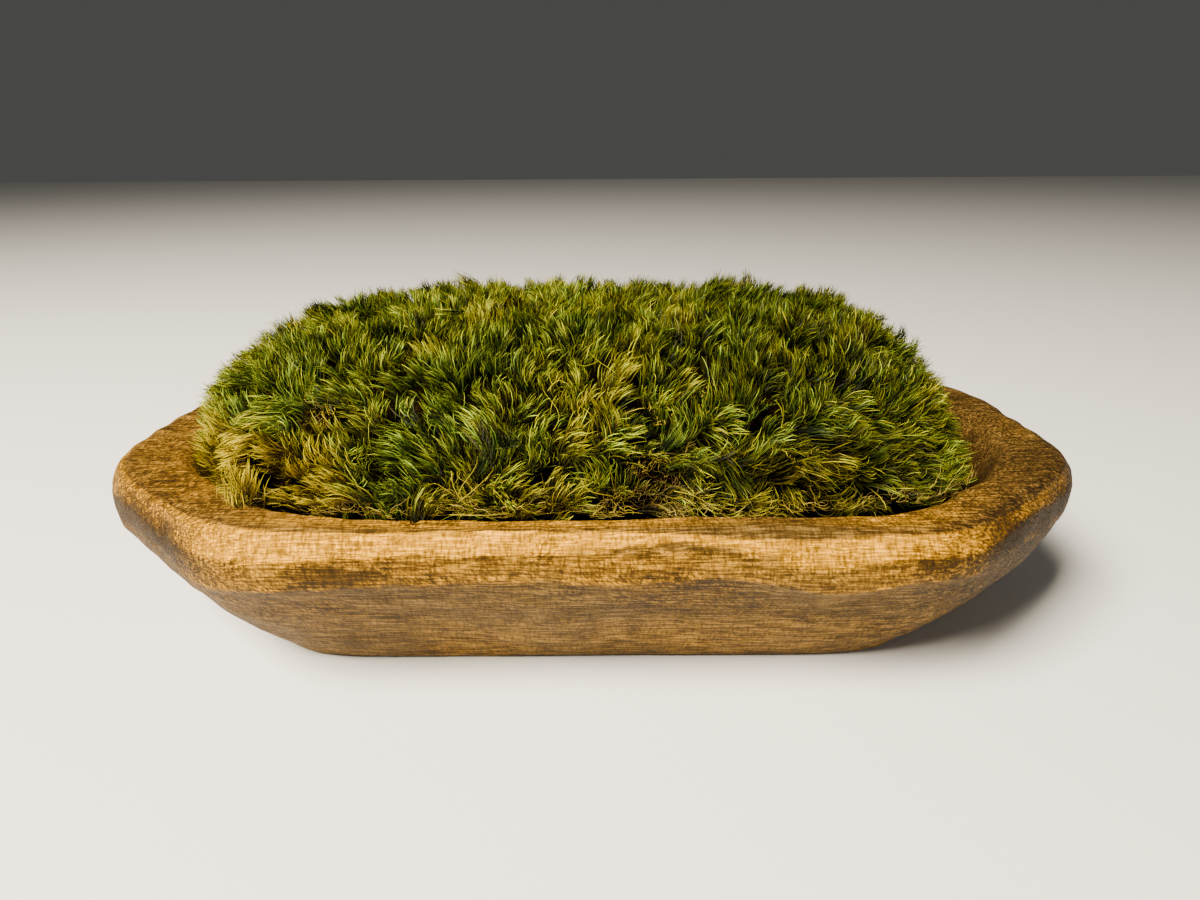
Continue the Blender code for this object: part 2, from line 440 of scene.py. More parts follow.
@dataclass(frozen=True)
class OiledMango:
    """Hand-carved mango wood under a thin coat of oil.

    Its long grain gives fine dark lines along the bowl, the rasp and the knife short oblique
    flecks that the oil has darkened, and rays short ticks across the grain. Edges that hands
    have worn are pale and golden, and along the ridge over the flare the same gold is a painted
    highlight. The painted attribute "carving" says how worn the wood is, with that highlight,
    how stained, with painted shade on the right end's flare, and how flecked.
    """

    name: str = "oiled carved mango wood"
    tones: Stops = ((0.3, "5e471e"), (0.5, "7a5d2a"), (0.68, "8f6c30"), (0.85, "a67f3a"))
    pores: str = "281a06"
    flecked: str = "1e1507"
    # Pale gold of worn edges, also used for the painted highlight along the ridge
    worn_and_highlit: str = "f2ab00"
    # The stains' dark, also used for the painted shade on the right end's flare
    stained_and_shaded: str = "1e150d"
    oil_tint: str = "ffd48a"
    # Pores, rays and rasp marks are about this wide, the finest that shows at this distance
    lines: Streaks = Streaks(0.22, (20.0, 1.0, 1.0), (0.02, 0.03), (0.45, 0.58))
    flecks: Streaks = Streaks(0.3, (5.0, 1.0, 1.0), (0.58, 0.73), (0.46, 0.57))
    rays: Streaks = Streaks(0.3, (1.0, 4.0, 4.0), (0.0, 0.06), (0.45, 0.62))
    # The bands' width, and the share to which their length is shortened in the noise
    band_mm: float = 15.0
    band_shortening: float = 0.12
    mottle_mm: float = 2.4
    # How much of the lines is gone where the wood is fully worn
    rubbed_out: float = 0.5
    # How much of the colour under it each of them takes away where it is full
    line_share: float = 0.72
    ray_share: float = 0.58
    fleck_share: float = 0.8
    stain_and_shade_share: float = 0.8
    # How far lines and mottle carry stain and painted shade, and from where it begins and is full
    line_pull: float = 0.35
    mottle_pull: float = 1.5
    stain_and_shade_clear: tuple[float, float] = (1.0, 1.6)
    relief: float = 0.3 * MM
    roughness: float = 0.55
    polish: float = 0.1

    def plain_wood(
        self, tree: bpy.types.NodeTree, place: bpy.types.NodeSocket
    ) -> bpy.types.NodeSocket:
        """Draws the broad bands of the grain.

        Args:
            tree: the material's nodes.
            place: the coordinates.

        Returns:
            The wood's own colour.
        """
        drawn_out = {"Vector": place, "Scale": (self.band_shortening, 1.0, 1.0)}
        broad = {
            "Vector": add_node(tree, "Mapping", drawn_out).outputs["Vector"],
            "Scale": per_metre(self.band_mm),
            "Detail": 6.0,
            "Roughness": 0.6,
            "Distortion": 0.5,
        }
        bands = add_node(tree, "TexNoise", broad).outputs["Fac"]
        return add_node(tree, "ValToRGB", {"Fac": bands}, self.tones).outputs["Color"]

    def soak_stain_and_shade(
        self,
        tree: bpy.types.NodeTree,
        place: bpy.types.NodeSocket,
        lines: bpy.types.NodeSocket,
        stained_and_shaded: bpy.types.NodeSocket,
    ) -> bpy.types.NodeSocket:
        """Lets stain and painted shade soak in unevenly, their edge following grain lines and a
        mottle.

        Args:
            tree: the material's nodes.
            place: the coordinates.
            lines: where the grain lines are.
            stained_and_shaded: how stained the wood is, painted shade included.

        Returns:
            How much stain and painted shade there is, from 0 to 1.
        """
        pulled = {0: lines, 1: self.line_pull, 2: stained_and_shaded}
        lined = add_node(tree, "Math", pulled, operation="MULTIPLY_ADD")
        spotty = {
            "Vector": place,
            "Scale": per_metre(self.mottle_mm),
            "Detail": 5.0,
            "Roughness": 0.7,
        }
        mottle = add_node(tree, "TexNoise", spotty).outputs["Fac"]
        added = {0: mottle, 1: self.mottle_pull, 2: lined.outputs["Value"]}
        blotch = add_node(tree, "Math", added, operation="MULTIPLY_ADD").outputs["Value"]
        cut = {"Value": blotch, "From Min": self.stain_and_shade_clear[0], "From Max": self.stain_and_shade_clear[1]}
        return add_node(tree, "MapRange", cut).outputs["Result"]

    def material(self) -> bpy.types.Material:
        """Builds the material.

        Returns:
            The wood's material.
        """
        material, tree, shader = new_material(self.name)
        place = add_node(tree, "TexCoord").outputs["Object"]
        carving = add_node(tree, "Attribute", attribute_name="carving").outputs["Color"]
        parts = add_node(tree, "SeparateColor", {"Color": carving})
        worn_and_highlit, stained_and_shaded, flecked = (parts.outputs[part] for part in ("Red", "Green", "Blue"))
        lines, flecks, rays = (
            streaks.draw(tree, place) for streaks in (self.lines, self.flecks, self.rays)
        )
        paled = {"Fac": worn_and_highlit, "Color1": self.plain_wood(tree, place), "Color2": linear(self.worn_and_highlit)}
        colour = add_node(tree, "MixRGB", paled).outputs["Color"]
        rubbed = {0: worn_and_highlit, 1: -self.rubbed_out, 2: 1.0}
        left = add_node(tree, "Math", rubbed, operation="MULTIPLY_ADD").outputs["Value"]
        kept = add_node(tree, "Math", {0: lines, 1: left}, operation="MULTIPLY")
        rough = add_node(tree, "Math", {0: flecks, 1: flecked}, operation="MULTIPLY")
        soaked_stain_and_shade = self.soak_stain_and_shade(tree, place, lines, stained_and_shaded)
        for amount, share, dark in (
            (kept.outputs["Value"], self.line_share, self.pores),
            (rays, self.ray_share, self.pores),
            (rough.outputs["Value"], self.fleck_share, self.flecked),
            (soaked_stain_and_shade, self.stain_and_shade_share, self.stained_and_shaded),
        ):
            scaled = add_node(tree, "Math", {0: amount, 1: share}, operation="MULTIPLY")
            mix = {"Fac": scaled.outputs["Value"], "Color1": colour, "Color2": linear(dark)}
            colour = add_node(tree, "MixRGB", mix).outputs["Color"]
        tree.links.new(colour, shader.inputs["Base Color"])
        both = {0: rough.outputs["Value"], 1: 1.0, 2: lines}
        depth = add_node(tree, "Math", both, operation="MULTIPLY_ADD").outputs["Value"]
        sunk = {"Height": depth, "Distance": self.relief, "Strength": 0.9}
        bump = add_node(tree, "Bump", sunk, invert=True)
        tree.links.new(bump.outputs["Normal"], shader.inputs["Normal"])
        shader.inputs["Roughness"].default_value = self.roughness
        shader.inputs["Specular IOR Level"].default_value = self.polish
        shader.inputs["Specular Tint"].default_value = linear(self.oil_tint)
        return material


@dataclass(frozen=True)
class PaleFloor:
    """A plain pale studio floor."""

    name: str = "pale floor"
    colour: str = "e6e5e0"
    roughness: float = 0.55

    def material(self) -> bpy.types.Material:
        """Builds the material.

        Returns:
            The floor's material.
        """
        material, _, shader = new_material(self.name)
        shader.inputs["Base Color"].default_value = linear(self.colour)
        shader.inputs["Roughness"].default_value = self.roughness
        return material


@dataclass
class WoodMarksAndPaintedLight:
    """How hands, stain and tools have marked the bowl, with painted highlight and shade.

    Each point has its row, which says how far up the bowl's section it lies: 2 to 5 is the flare,
    6 the ridge over it, 7 and 8 the upright band, 9 to 11 the bevel, 12 the rim's inner edge.
    """

    points: np.ndarray
    row: np.ndarray
    chatter: Band = Band(2.6, 4.2, 6.2, 7.0)
    ridge: Band = Band(5.2, 5.9, 6.1, 6.8)
    upright: Band = Band(5.6, 6.4, 8.4, 9.2)
    rim: Band = Band(10.8, 11.5, 12.4, 13.2)
    # Dark knots and stains: x, y, z, radius in mm, depth
    stains: tuple[Row, ...] = (
        (-52, -71, 37, 11, 0.7),
        (-78, -60, 43, 6, 0.8),
        (70, -68, 39, 6, 1.0),
        (86, -58, 41, 10, 1.3),
        (20, -70, 36, 9, 0.35),
        (-20, -70, 37, 8, 0.3),
        (-112, -25, 40, 12, 0.5),
        (-104, -44, 39.5, 14, 0.8),
        (-90, -56, 39.5, 12, 0.8),
        (100, -40, 38, 14, 0.6),
        (112, -24, 40, 12, 0.6),
    )
    # They are longer along the bowl than across it and up it
    stain_shape: Point = (1.0, 0.6, 0.4)
    patches: np.ndarray = field(init=False)
    spots: np.ndarray = field(init=False)
    ends: np.ndarray = field(init=False)
    bevel: np.ndarray = field(init=False)

    def __post_init__(self) -> None:
        """Works out what the three kinds of marks share."""
        x = self.points[:, 0]
        self.patches = SmoothField(21, 34 * MM).at(self.points)
        self.spots = SmoothField(22, 9 * MM).at(self.points)
        self.ends = fade(np.abs(x), 62 * MM, 100 * MM)
        # Both edges of the bevel wander up and down the section, the lower one more
        lower = self.row + 0.55 * SmoothField(24, 42 * MM).at(self.points) + 0.12 * self.spots
        upper = self.row + 0.15 * SmoothField(26, 50 * MM).at(self.points)
        upper += 0.8 * fade(x, 0.0, 30 * MM)
        self.bevel = fade(lower, 8.6, 9.2) * (1 - fade(upper, 10.55, 10.7))

    def worn_and_highlit(self) -> np.ndarray:
        """Rubs the bevel pale, less so at the ends, and the band, the rim's top and the left end.

        Along the ridge over the flare the paleness is a painted highlight, partly wear as well.

        Returns:
            How worn each point is, the painted highlight on the ridge included.
        """
        specks = SmoothField(23, 3.2 * MM).at(self.points)
        left_end = self.ends * fade(-self.points[:, 0], 0.0, 50 * MM)
        worn_and_highlit = self.bevel * (0.9 - 0.5 * self.ends + 0.12 * self.spots + 0.06 * specks)
        # Painted highlight along the ridge over the flare, partly wear as well
        worn_and_highlit += self.ridge.at(self.row) * (0.35 + 0.3 * self.spots)
        worn_and_highlit += 0.3 * self.upright.at(self.row) * (1 - self.ends)
        worn_and_highlit += 0.1 * self.patches + 0.18 * left_end
        top = self.rim.at(self.row) * (1 - self.bevel)
        return worn_and_highlit + top * (0.36 + 0.15 * self.patches) * (1 - 0.8 * self.ends)

    def stained_and_shaded(self) -> np.ndarray:
        """Stains the ends, some patches and the knots, darkens the hollow, and paints shade on the
        right end's flare.

        Returns:
            How stained each point is, the painted shade on the right end's flare included.
        """
        stained_and_shaded = 0.1 + 0.35 * self.ends * fade(self.row, 4.0, 6.5)
        stained_and_shaded -= 0.3 * self.ends * fade(self.row, 10.5, 11.5)
        stained_and_shaded += 0.22 * fade(self.patches + 0.4 * self.spots, 0.3, 1.3)
        stained_and_shaded += 0.3 * fade(self.row, 12.6, 14.0) - 0.25 * self.bevel
        # Painted shade: the right end's flare, away from the light, is darkened
        shaded_right_flare = fade(self.points[:, 0], 50 * MM, 90 * MM)
        stained_and_shaded += 0.3 * shaded_right_flare * (1 - fade(self.row, 4.0, 6.0))
        for *middle, radius, depth in self.stains:
            gaps = (self.points / MM - middle) / (np.array(self.stain_shape) * radius)
            stained_and_shaded += depth * np.exp(-(gaps**2).sum(axis=1))
        return stained_and_shaded

    def flecked(self) -> np.ndarray:
        """Spreads the tool marks: most at the ends, on the rim and where the rasp chattered.

        Returns:
            How flecked each point is.
        """
        flecked = 0.3 + 0.35 * self.ends + 0.2 * self.spots
        flecked += 0.35 * self.rim.at(self.row) + 0.3 * self.upright.at(self.row)
        flecked += 0.4 * self.chatter.at(self.row) * fade(self.patches, -0.3, 0.8)
        flecked -= 0.2 * (1 - fade(self.row, 2.0, 3.5)) * (1 - self.ends)
        return flecked

    def marks(self) -> np.ndarray:
        """Each point's wear, stains and flecks from 0 to 1, painted highlight and shade included.
        """
        return np.clip(np.stack((self.worn_and_highlit(), self.stained_and_shaded(), self.flecked()), axis=-1), 0.0, 1.0)


@dataclass
class CarvedBowl:
    """The dough bowl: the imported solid's outline and section, with the knife's work on it."""

    length: float = 250 * MM
    width: float = 144 * MM
    corner_reach: float = 105.5 * MM
    hollow_shift: float = 1.5 * MM
    columns: int = 480
    row_spacing: float = 1.0 * MM
    # Rows lie closer between these, where the light bevel meets the darker top
    close_rows: tuple[int, int] = (9, 12)
    closer: float = 0.5
    # Height, then insets at the ends, sides and corners in mm, the corners' sharpness, the stray
    outside: tuple[Row, ...] = (
        (0.0, 46.0, 27.0, 24.0, 18, 0.0),
        (1.3, 44.2, 25.4, 22.3, 18, 0.3),
        (9.0, 33.4, 19.5, 15.8, 19, 0.8),
        (18.0, 20.6, 13.4, 8.8, 20, 1.0),
        (27.0, 7.8, 7.0, 2.4, 22, 1.0),
        (33.0, 1.8, 2.7, 0.2, 24, 0.9),
        (35.4, 0.4, 0.9, -0.3, 24, 0.8),
        (38.0, -0.5, 0.3, -0.6, 24, 0.6),
        (41.2, -0.6, 0.6, -0.5, 24, 0.6),
        (42.2, -0.3, 1.3, 0.0, 24, 0.6),
        (45.0, 1.4, 4.0, 1.8, 22, 0.4),
        (46.0, 3.8, 5.6, 3.8, 20, 0.3),
    )
    hollow: tuple[Row, ...] = (
        (46.0, 12.6, 10.2, 12.0, 14, 0.3),
        (45.0, 14.6, 11.6, 14.0, 13, 0.4),
        (41.0, 17.0, 13.2, 16.4, 12, 0.5),
        (30.0, 23.0, 18.0, 23.0, 11, 0.6),
        (20.0, 32.5, 25.0, 31.5, 10, 0.6),
        (14.0, 45.0, 35.5, 42.5, 9, 0.4),
        (12.2, 62.0, 48.0, 57.0, 8, 0.2),
    )
    # The rings stray from the outline by a noise, read from this place at this pace
    stray_from: Point = (4.1, 0.7, 2.9)
    stray_pace: float = 2.3
    stray_height: float = 26.0
    # About how large the knife's scoops are, along the bowl, across it and up it
    scoop_size: Point = (19 * MM, 12 * MM, 10 * MM)
    # The ridge over the flare and the bevel's lower edge rise and fall along the bowl
    uneven: Band = Band(3.6, 5.6, 8.6, 10.2)
    unevenness: float = 1.3 * MM

    def ring(self, angles: np.ndarray, row: Row, shift: float) -> np.ndarray:
        """One row of the section, all the way round.

        Args:
            angles: the direction of each column, in radians from +X.
            row: one row of outside or hollow.
            shift: how far the ring lies towards +X, in metres.

        Returns:
            Its points.
        """
        height, end, side, corner, sharpness, stray = row
        reach = outline_reach(
            angles,
            self.length / 2 - end * MM,
            self.width / 2 - side * MM,
            self.corner_reach - corner * MM,
            sharpness,
        )
        x, y = np.cos(angles), np.sin(angles)
        from_x, from_y, from_z = self.stray_from
        level = height / self.stray_height + from_z
        places = zip(self.stray_pace * x + from_x, self.stray_pace * y + from_y)
        strays = np.array([noise.noise(Vector((*place, level))) for place in places])
        reach = reach + stray * MM * strays
        return np.stack((shift + reach * x, reach * y, np.full(len(x), height * MM)), axis=-1)

    def section_points(self) -> np.ndarray:
        """Lays the section's corners round the bowl.

        Returns:
            Their points, as rows by columns by XYZ.
        """
        angles = column_angles(self.columns, self.length, self.width)
        rings = [self.ring(angles, row, 0.0) for row in self.outside]
        rings += [self.ring(angles, row, self.hollow_shift) for row in self.hollow]
        return np.array(rings)

    def fine_rows(self, rings: np.ndarray) -> tuple[np.ndarray, np.ndarray]:
        """Splits the section's spans evenly and eases its edges.

        Args:
            rings: what section_points gave.

        Returns:
            The finer rings, and how far along the section's rows each of them lies.
        """
        steps = [0.0]
        for place, (lower, upper) in enumerate(zip(rings, rings[1:])):
            span = np.linalg.norm(upper - lower, axis=-1).mean()
            close = self.close_rows[0] <= place < self.close_rows[1]
            spacing = self.row_spacing * (self.closer if close else 1.0)
            count = max(1, round(span / spacing))
            steps += [place + (step + 1) / count for step in range(count)]
        steps = np.array(steps)
        below = np.minimum(steps.astype(int), len(rings) - 2)
        share = (steps - below)[:, None, None]
        fine = rings[below] * (1 - share) + rings[below + 1] * share
        eased = fine.copy()
        eased[1:-1] = (fine[:-2] + 5 * fine[1:-1] + fine[2:]) / 7
        return eased, steps

    def normals(self, grid: np.ndarray) -> np.ndarray:
        """Works out which way a grid of rings faces.

        Args:
            grid: its points, as rows by columns by XYZ.

        Returns:
            The outward normal at each point.
        """
        round_the_bowl = np.roll(grid, -1, axis=1) - np.roll(grid, 1, axis=1)
        up_the_section = np.gradient(grid, axis=0)
        return unit(np.cross(round_the_bowl, up_the_section))

    def knife_marks(self, points: np.ndarray, steps: np.ndarray) -> np.ndarray:
        """Carves scoops and slow waves, deepest at the ends.

        Args:
            points: the grid of rings.
            steps: how far along the section's rows each ring lies.

        Returns:
            The carved surface's height over the smooth one at each point, in metres.
        """
        flat = points.reshape(-1, 3)
        waves = 0.35 * SmoothField(11, 38 * MM).at(flat) + 0.12 * SmoothField(12, 9 * MM).at(flat)
        cells = flat / self.scoop_size
        scoops = np.array([noise.voronoi(Vector(cell))[0][0] for cell in cells])
        ends = fade(np.abs(flat[:, 0]), 70 * MM, 100 * MM)
        height = (waves + (0.3 + 0.5 * ends) * (0.3 - (1 - scoops) ** 2)) * MM
        # The underside stays smooth, so that the bowl stands flat
        return height.reshape(points.shape[:2]) * fade(steps, 0.6, 2.2)[:, None]

    def build(self) -> bpy.types.Object:
        """Builds the bowl, dressed.

        Returns:
            The bowl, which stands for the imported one.
        """
        grid, steps = self.fine_rows(self.section_points())
        rise = SmoothField(25, 40 * MM).at(grid)
        grid[..., 2] += self.unevenness * self.uneven.at(steps)[:, None] * rise
        grid = grid + self.normals(grid) * self.knife_marks(grid, steps)[..., None]
        grid[..., 2] = np.maximum(grid[..., 2], 0.0)
        rows, columns = grid.shape[:2]
        ring = np.arange(columns)
        onward = np.roll(ring, -1)
        last, centre = (rows - 1) * columns, rows * columns
        under = np.stack((onward, ring, np.full(columns, centre)), axis=-1)
        inside = np.stack((last + ring, last + onward, np.full(columns, centre + 1)), axis=-1)
        flat = grid.reshape(-1, 3)
        points = np.concatenate((flat, [grid[0].mean(axis=0)], [grid[-1].mean(axis=0)]))
        faces = [ring_walls(rows, columns), under, inside]
        piece = new_piece("carved_wooden_bowl", points, faces, OiledMango().material())
        marks = WoodMarksAndPaintedLight(flat, np.repeat(steps, columns)).marks()
        paint(piece, "carving", np.concatenate((marks, marks[-2:])))
        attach(piece, "root")
        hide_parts("wooden_bowl")
        return piece


class Side(Enum):
    """Which cushion of the mound it is."""

    LEFT = "left"
    MIDDLE = "middle"
    RIGHT = "right"

    @property
    def node(self) -> str:
        """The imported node's name."""
        return f"moss_cushion_{self.value}"

    @property
    def slot(self) -> str:
        """The record's material slot."""
        return f"{self.value}_moss"


class Half(Enum):
    """Which half of a cushion it is."""

    FRONT = "front"
    BACK = "back"


@dataclass
class Surface:
    """A triangle mesh for things to grow on."""

    points: np.ndarray
    faces: np.ndarray
    # Tries for each place that scatter could keep, so that it leaves no gap
    tries: int = 12
    normals: np.ndarray = field(init=False)
    areas: np.ndarray = field(init=False)

    def __post_init__(self) -> None:
        """Works out the faces' areas and the points' smooth normals."""
        corners = self.points[self.faces]
        sides = np.cross(corners[:, 1] - corners[:, 0], corners[:, 2] - corners[:, 0])
        self.areas = np.linalg.norm(sides, axis=1) / 2
        self.normals = np.zeros_like(self.points)
        for corner in range(3):
            np.add.at(self.normals, self.faces[:, corner], sides)
        self.normals = unit(self.normals)

    def sample(self, rng: np.random.Generator, count: int) -> tuple[np.ndarray, np.ndarray]:
        """Picks places on the surface at random.

        Args:
            rng: the random draws.
            count: how many places.

        Returns:
            The places and the surface's smooth normals there.
        """
        picked = rng.choice(len(self.faces), count, p=self.areas / self.areas.sum())
        weights = rng.dirichlet((1.0, 1.0, 1.0), count)[..., None]
        corners = self.faces[picked]
        places = (self.points[corners] * weights).sum(axis=1)
        return places, unit((self.normals[corners] * weights).sum(axis=1))

    def scatter(self, rng: np.random.Generator, spacing: float) -> tuple[np.ndarray, np.ndarray]:
        """Picks places on the surface that keep their distance from each other.

        Args:
            rng: the random draws.
            spacing: the least distance between two places, in metres.

        Returns:
            The places and the surface's smooth normals there.
        """
        places, normals = self.sample(rng, int(self.tries * self.areas.sum() / spacing**2))
        steps = [(a, b, c) for a in (-1, 0, 1) for b in (-1, 0, 1) for c in (-1, 0, 1)]
        kept: list[int] = []
        cells: dict[tuple[int, int, int], list[int]] = {}
        for index, (i, j, k) in enumerate(np.floor(places / spacing).astype(int).tolist()):
            near = [one for a, b, c in steps for one in cells.get((i + a, j + b, k + c), ())]
            if near:
                gaps = places[near] - places[index]
                if (gaps * gaps).sum(axis=1).min() < spacing**2:
                    continue
            kept.append(index)
            cells.setdefault((i, j, k), []).append(index)
        return places[kept], normals[kept]


def packed_surface(node: str) -> Surface:
    """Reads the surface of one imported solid.

    Args:
        node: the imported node's name.

    Returns:
        Its surface, with shared corners merged.
    """
    bm = bmesh.new()
    bm.from_mesh(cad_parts[node].data)
    bmesh.ops.remove_doubles(bm, verts=bm.verts, dist=SAME_PLACE)
    bmesh.ops.triangulate(bm, faces=bm.faces)
    points = np.array([vert.co for vert in bm.verts])
    faces = np.array([[vert.index for vert in face.verts] for face in bm.faces])
    bm.free()
    return Surface(points, faces)


@dataclass
class Locks:
    """The locks that shoots lean together in, as arrays with one row a shoot.

    edge is 1 where a shoot stands between two locks and 0 well inside its own.
    """

    count: int
    number: np.ndarray
    centres: np.ndarray
    edge: np.ndarray
    lean: np.ndarray
    lift: np.ndarray
    tone: np.ndarray


@dataclass
class Shoots:
    """Moss shoots, each the root of one tuft of leaves, as arrays with one row a shoot."""

    places: np.ndarray
    normals: np.ndarray
    stems: np.ndarray
    bends: np.ndarray
    vigour: np.ndarray
    golden: np.ndarray
    brown: np.ndarray
    light: np.ndarray

    def only(self, chosen: np.ndarray) -> "Shoots":
        """The chosen shoots, by a mask or by numbers."""
        return Shoots(*(getattr(self, part.name)[chosen] for part in fields(self)))


@dataclass
class MossMound:
    """The whole moss as its leaf tips bound it: one loaf, with places where it has parted.

    Its foot stands on the rim of the hollow. Positions on its front are given as x and height,
    in mm, as the photograph shows them.
    """

    length: float = 202 * MM
    width: float = 124 * MM
    corner: float = 93 * MM
    sharpness: float = 8
    shift: float = -4.5 * MM
    top: float = 83.5 * MM
    shoulder: float = 50 * MM
    foot: float = 45.5 * MM
    # How far the right end hangs below the foot, into the hollow
    hang: float = 11 * MM
    # How far the moss spreads over the rim, low at the right front
    spread: float = 6.8 * MM
    # How far out the top stays high before it falls to the shoulder
    fall: float = 3.9
    # How much fuller the shoulders are at the left and the right end
    fuller_ends: tuple[float, float] = (0.4, 2.0)
    columns: int = 220
    dome_rows: int = 40
    skirt_rows: int = 6
    # How much closer the dome's rows lie towards the shoulder
    crowding: float = 1.6
    lump_height: float = 1.3 * MM
    shoot_spacing: float = 2.75 * MM
    lock_spacing: float = 6.5 * MM
    lock_edge: float = 3.0 * MM
    # How far a shoot leans with its lock, out from its middle (per metre), and on its own
    lock_lean: float = 0.26
    lock_spread: float = 20.0
    own_lean: float = 0.27
    # No shoots grow where a parting is sunk deeper than this, in mm
    open_depth: float = 3.6
    seed: int = 7
    # x at the front, middle and back
    left_seam: Point = (-52.0, -64.0, -56.0)
    right_seam: Point = (14.0, 12.0, 20.0)
    # x, height, half width, half height, depth
    partings: tuple[Row, ...] = (
        (-58.5, 68.0, 4.4, 3.8, 4.4),
        (-53.0, 48.0, 4.0, 3.5, 2.6),
        (-39.0, 73.0, 3.5, 3.0, 3.0),
        (-66.0, 46.5, 10.0, 2.0, 2.0),
        (-10.0, 46.5, 14.0, 2.2, 2.8),
        (14.5, 63.5, 4.6, 5.0, 3.5),
        (15.5, 56.0, 4.5, 5.0, 5.4),
        (9.5, 48.5, 8.0, 4.0, 6.0),
        (38.0, 68.0, 3.5, 3.0, 2.2),
        (51.0, 75.0, 3.0, 2.4, 2.6),
        (62.0, 47.0, 12.0, 2.0, 1.2),
    )
    # x, height, and which way the leaves lie, in degrees up from +X
    lies: tuple[Point, ...] = (
        (-104, 56, 165),
        (-95, 66, 155),
        (-92, 50, 160),
        (-82, 76, 135),
        (-82, 60, 152),
        (-72, 49, 138),
        (-70, 66, 150),
        (-62, 49, 118),
        (-60, 58, 100),
        (-60, 81, 112),
        (-50, 62, 138),
        (-49, 50, 158),
        (-42, 70, 112),
        (-38, 49, 96),
        (-34, 80, 96),
        (-32, 60, 90),
        (-22, 49, 52),
        (-15, 70, 90),
        (-12, 56, 68),
        (-6, 49, 34),
        (-5, 82, 90),
        (4, 60, 66),
        (5, 72, 90),
        (7, 49, 60),
        (20, 66, 52),
        (22, 80, 82),
        (22, 56, -18),
        (22, 48, -48),
        (36, 70, 56),
        (38, 58, 14),
        (40, 48, 4),
        (52, 82, 68),
        (58, 70, 46),
        (60, 58, 18),
        (60, 48, 10),
        (80, 80, 58),
        (82, 64, 34),
        (84, 50, 14),
        (100, 56, 22),
        (98, 47, -2),
        (96, 38, -20),
    )
    # How far a lie reaches, in mm, and how much more a height counts than an x
    lie_reach: float = 9.0
    height_counts: float = 1.3

    def seam(self, course: Point, y: np.ndarray) -> np.ndarray:
        """Where a seam runs.

        Args:
            course: its x at the front, middle and back, in mm.
            y: how far back, in metres.

        Returns:
            Its x, in metres.
        """
        front, middle, back = course
        along = np.clip(2 * y / self.width, -1.0, 1.0)
        bow = (back + front) / 2 - middle
        return (middle + along * (back - front) / 2 + along**2 * bow) * MM

    def fit_to_rim(self, grid: np.ndarray, angles: np.ndarray) -> None:
        """Spreads the mound over the rim low at the right front, and hangs its right end.

        Args:
            grid: the mound's rings, which are changed.
            angles: the direction of each column, in radians from +X.
        """
        x, y = grid[..., 0].copy(), grid[..., 1].copy()
        spreading = fade(x, 50 * MM, 80 * MM) * fade(-y, 8 * MM, 30 * MM)
        spreading *= fade(-grid[..., 2], -self.shoulder - 6 * MM, -self.foot - 2 * MM)
        grid[..., 0] += self.spread * spreading * np.cos(angles)
        grid[..., 1] += self.spread * spreading * np.sin(angles)
        # The right end doesn't stand on the rim: it hangs into the hollow
        hanging = fade(x, 78 * MM, 94 * MM) * (1 - fade(np.abs(y), 26 * MM, 44 * MM))
        grid[..., 2] -= self.hang * hanging * fade(-grid[..., 2], -self.shoulder, -self.foot)

    def surface(self) -> Surface:
        """Shapes the mound: a dome of rings, a short skirt, and its lumps and partings.

        Returns:
            Its outer surface.
        """
        angles = column_angles(self.columns, self.length, self.width)
        half = self.length / 2, self.width / 2
        reach = outline_reach(angles, *half, self.corner, self.sharpness)
        outs = 1 - (1 - np.linspace(0.02, 1, self.dome_rows)) ** self.crowding
        fuller = np.where(np.cos(angles) < 0, *self.fuller_ends) * np.cos(angles) ** 4
        rise = (1 - outs[:, None] ** (self.fall + fuller)) ** 0.5
        dome = self.shoulder + (self.top - self.shoulder) * rise
        skirt = np.linspace(self.shoulder, self.foot, self.skirt_rows + 1)[1:, None]
        heights = np.concatenate((dome, skirt * np.ones(self.columns)))
        spread = np.append(outs, np.ones(self.skirt_rows))[:, None] * reach
        x, y = self.shift + spread * np.cos(angles), spread * np.sin(angles)
        grid = np.stack((x, y, heights), axis=-1)
        self.fit_to_rim(grid, angles)
        walls = ring_walls(*grid.shape[:2])
        faces = np.concatenate((walls[:, (0, 3, 2)], walls[:, (0, 2, 1)]))
        smooth = Surface(grid.reshape(-1, 3), faces)
        lumps = SmoothField(61, 15 * MM).at(smooth.points) * self.lump_height
        sunk = self.sink(smooth.points) * MM
        return Surface(smooth.points + smooth.normals * (lumps - sunk)[:, None], faces)

    def sink(self, points: np.ndarray) -> np.ndarray:
        """Sinks the partings into the front.

        Args:
            points: places on the mound.

        Returns:
            How deep each of them is sunk, in mm.
        """
        front = fade(-points[:, 1], 0.0, 30 * MM)
        sunk = np.zeros(len(points))
        for at_x, height, half_width, half_height, depth in self.partings:
            across = (points[:, 0] / MM - at_x) / half_width
            up = (points[:, 2] / MM - height) / half_height
            sunk = np.maximum(sunk, depth * front * np.exp(-(across**2) - up**2))
        return sunk

    def lie(self, places: np.ndarray) -> np.ndarray:
        """Blends the lies round each place.

        Args:
            places: places on the mound.

        Returns:
            Which way the leaves lie there, as vectors in the XZ plane.
        """
        guides = np.array(self.lies, float)
        gap_x = places[:, 0, None] / MM - guides[:, 0]
        gap_z = (places[:, 2, None] / MM - guides[:, 1]) * self.height_counts
        weights = np.exp(-(gap_x**2 + gap_z**2) / (2 * self.lie_reach**2)) + 1e-9
        turns = np.radians(guides[:, 2])
        across, up = weights @ np.cos(turns), weights @ np.sin(turns)
        return unit(np.stack((across, np.zeros(len(places)), up), axis=-1))

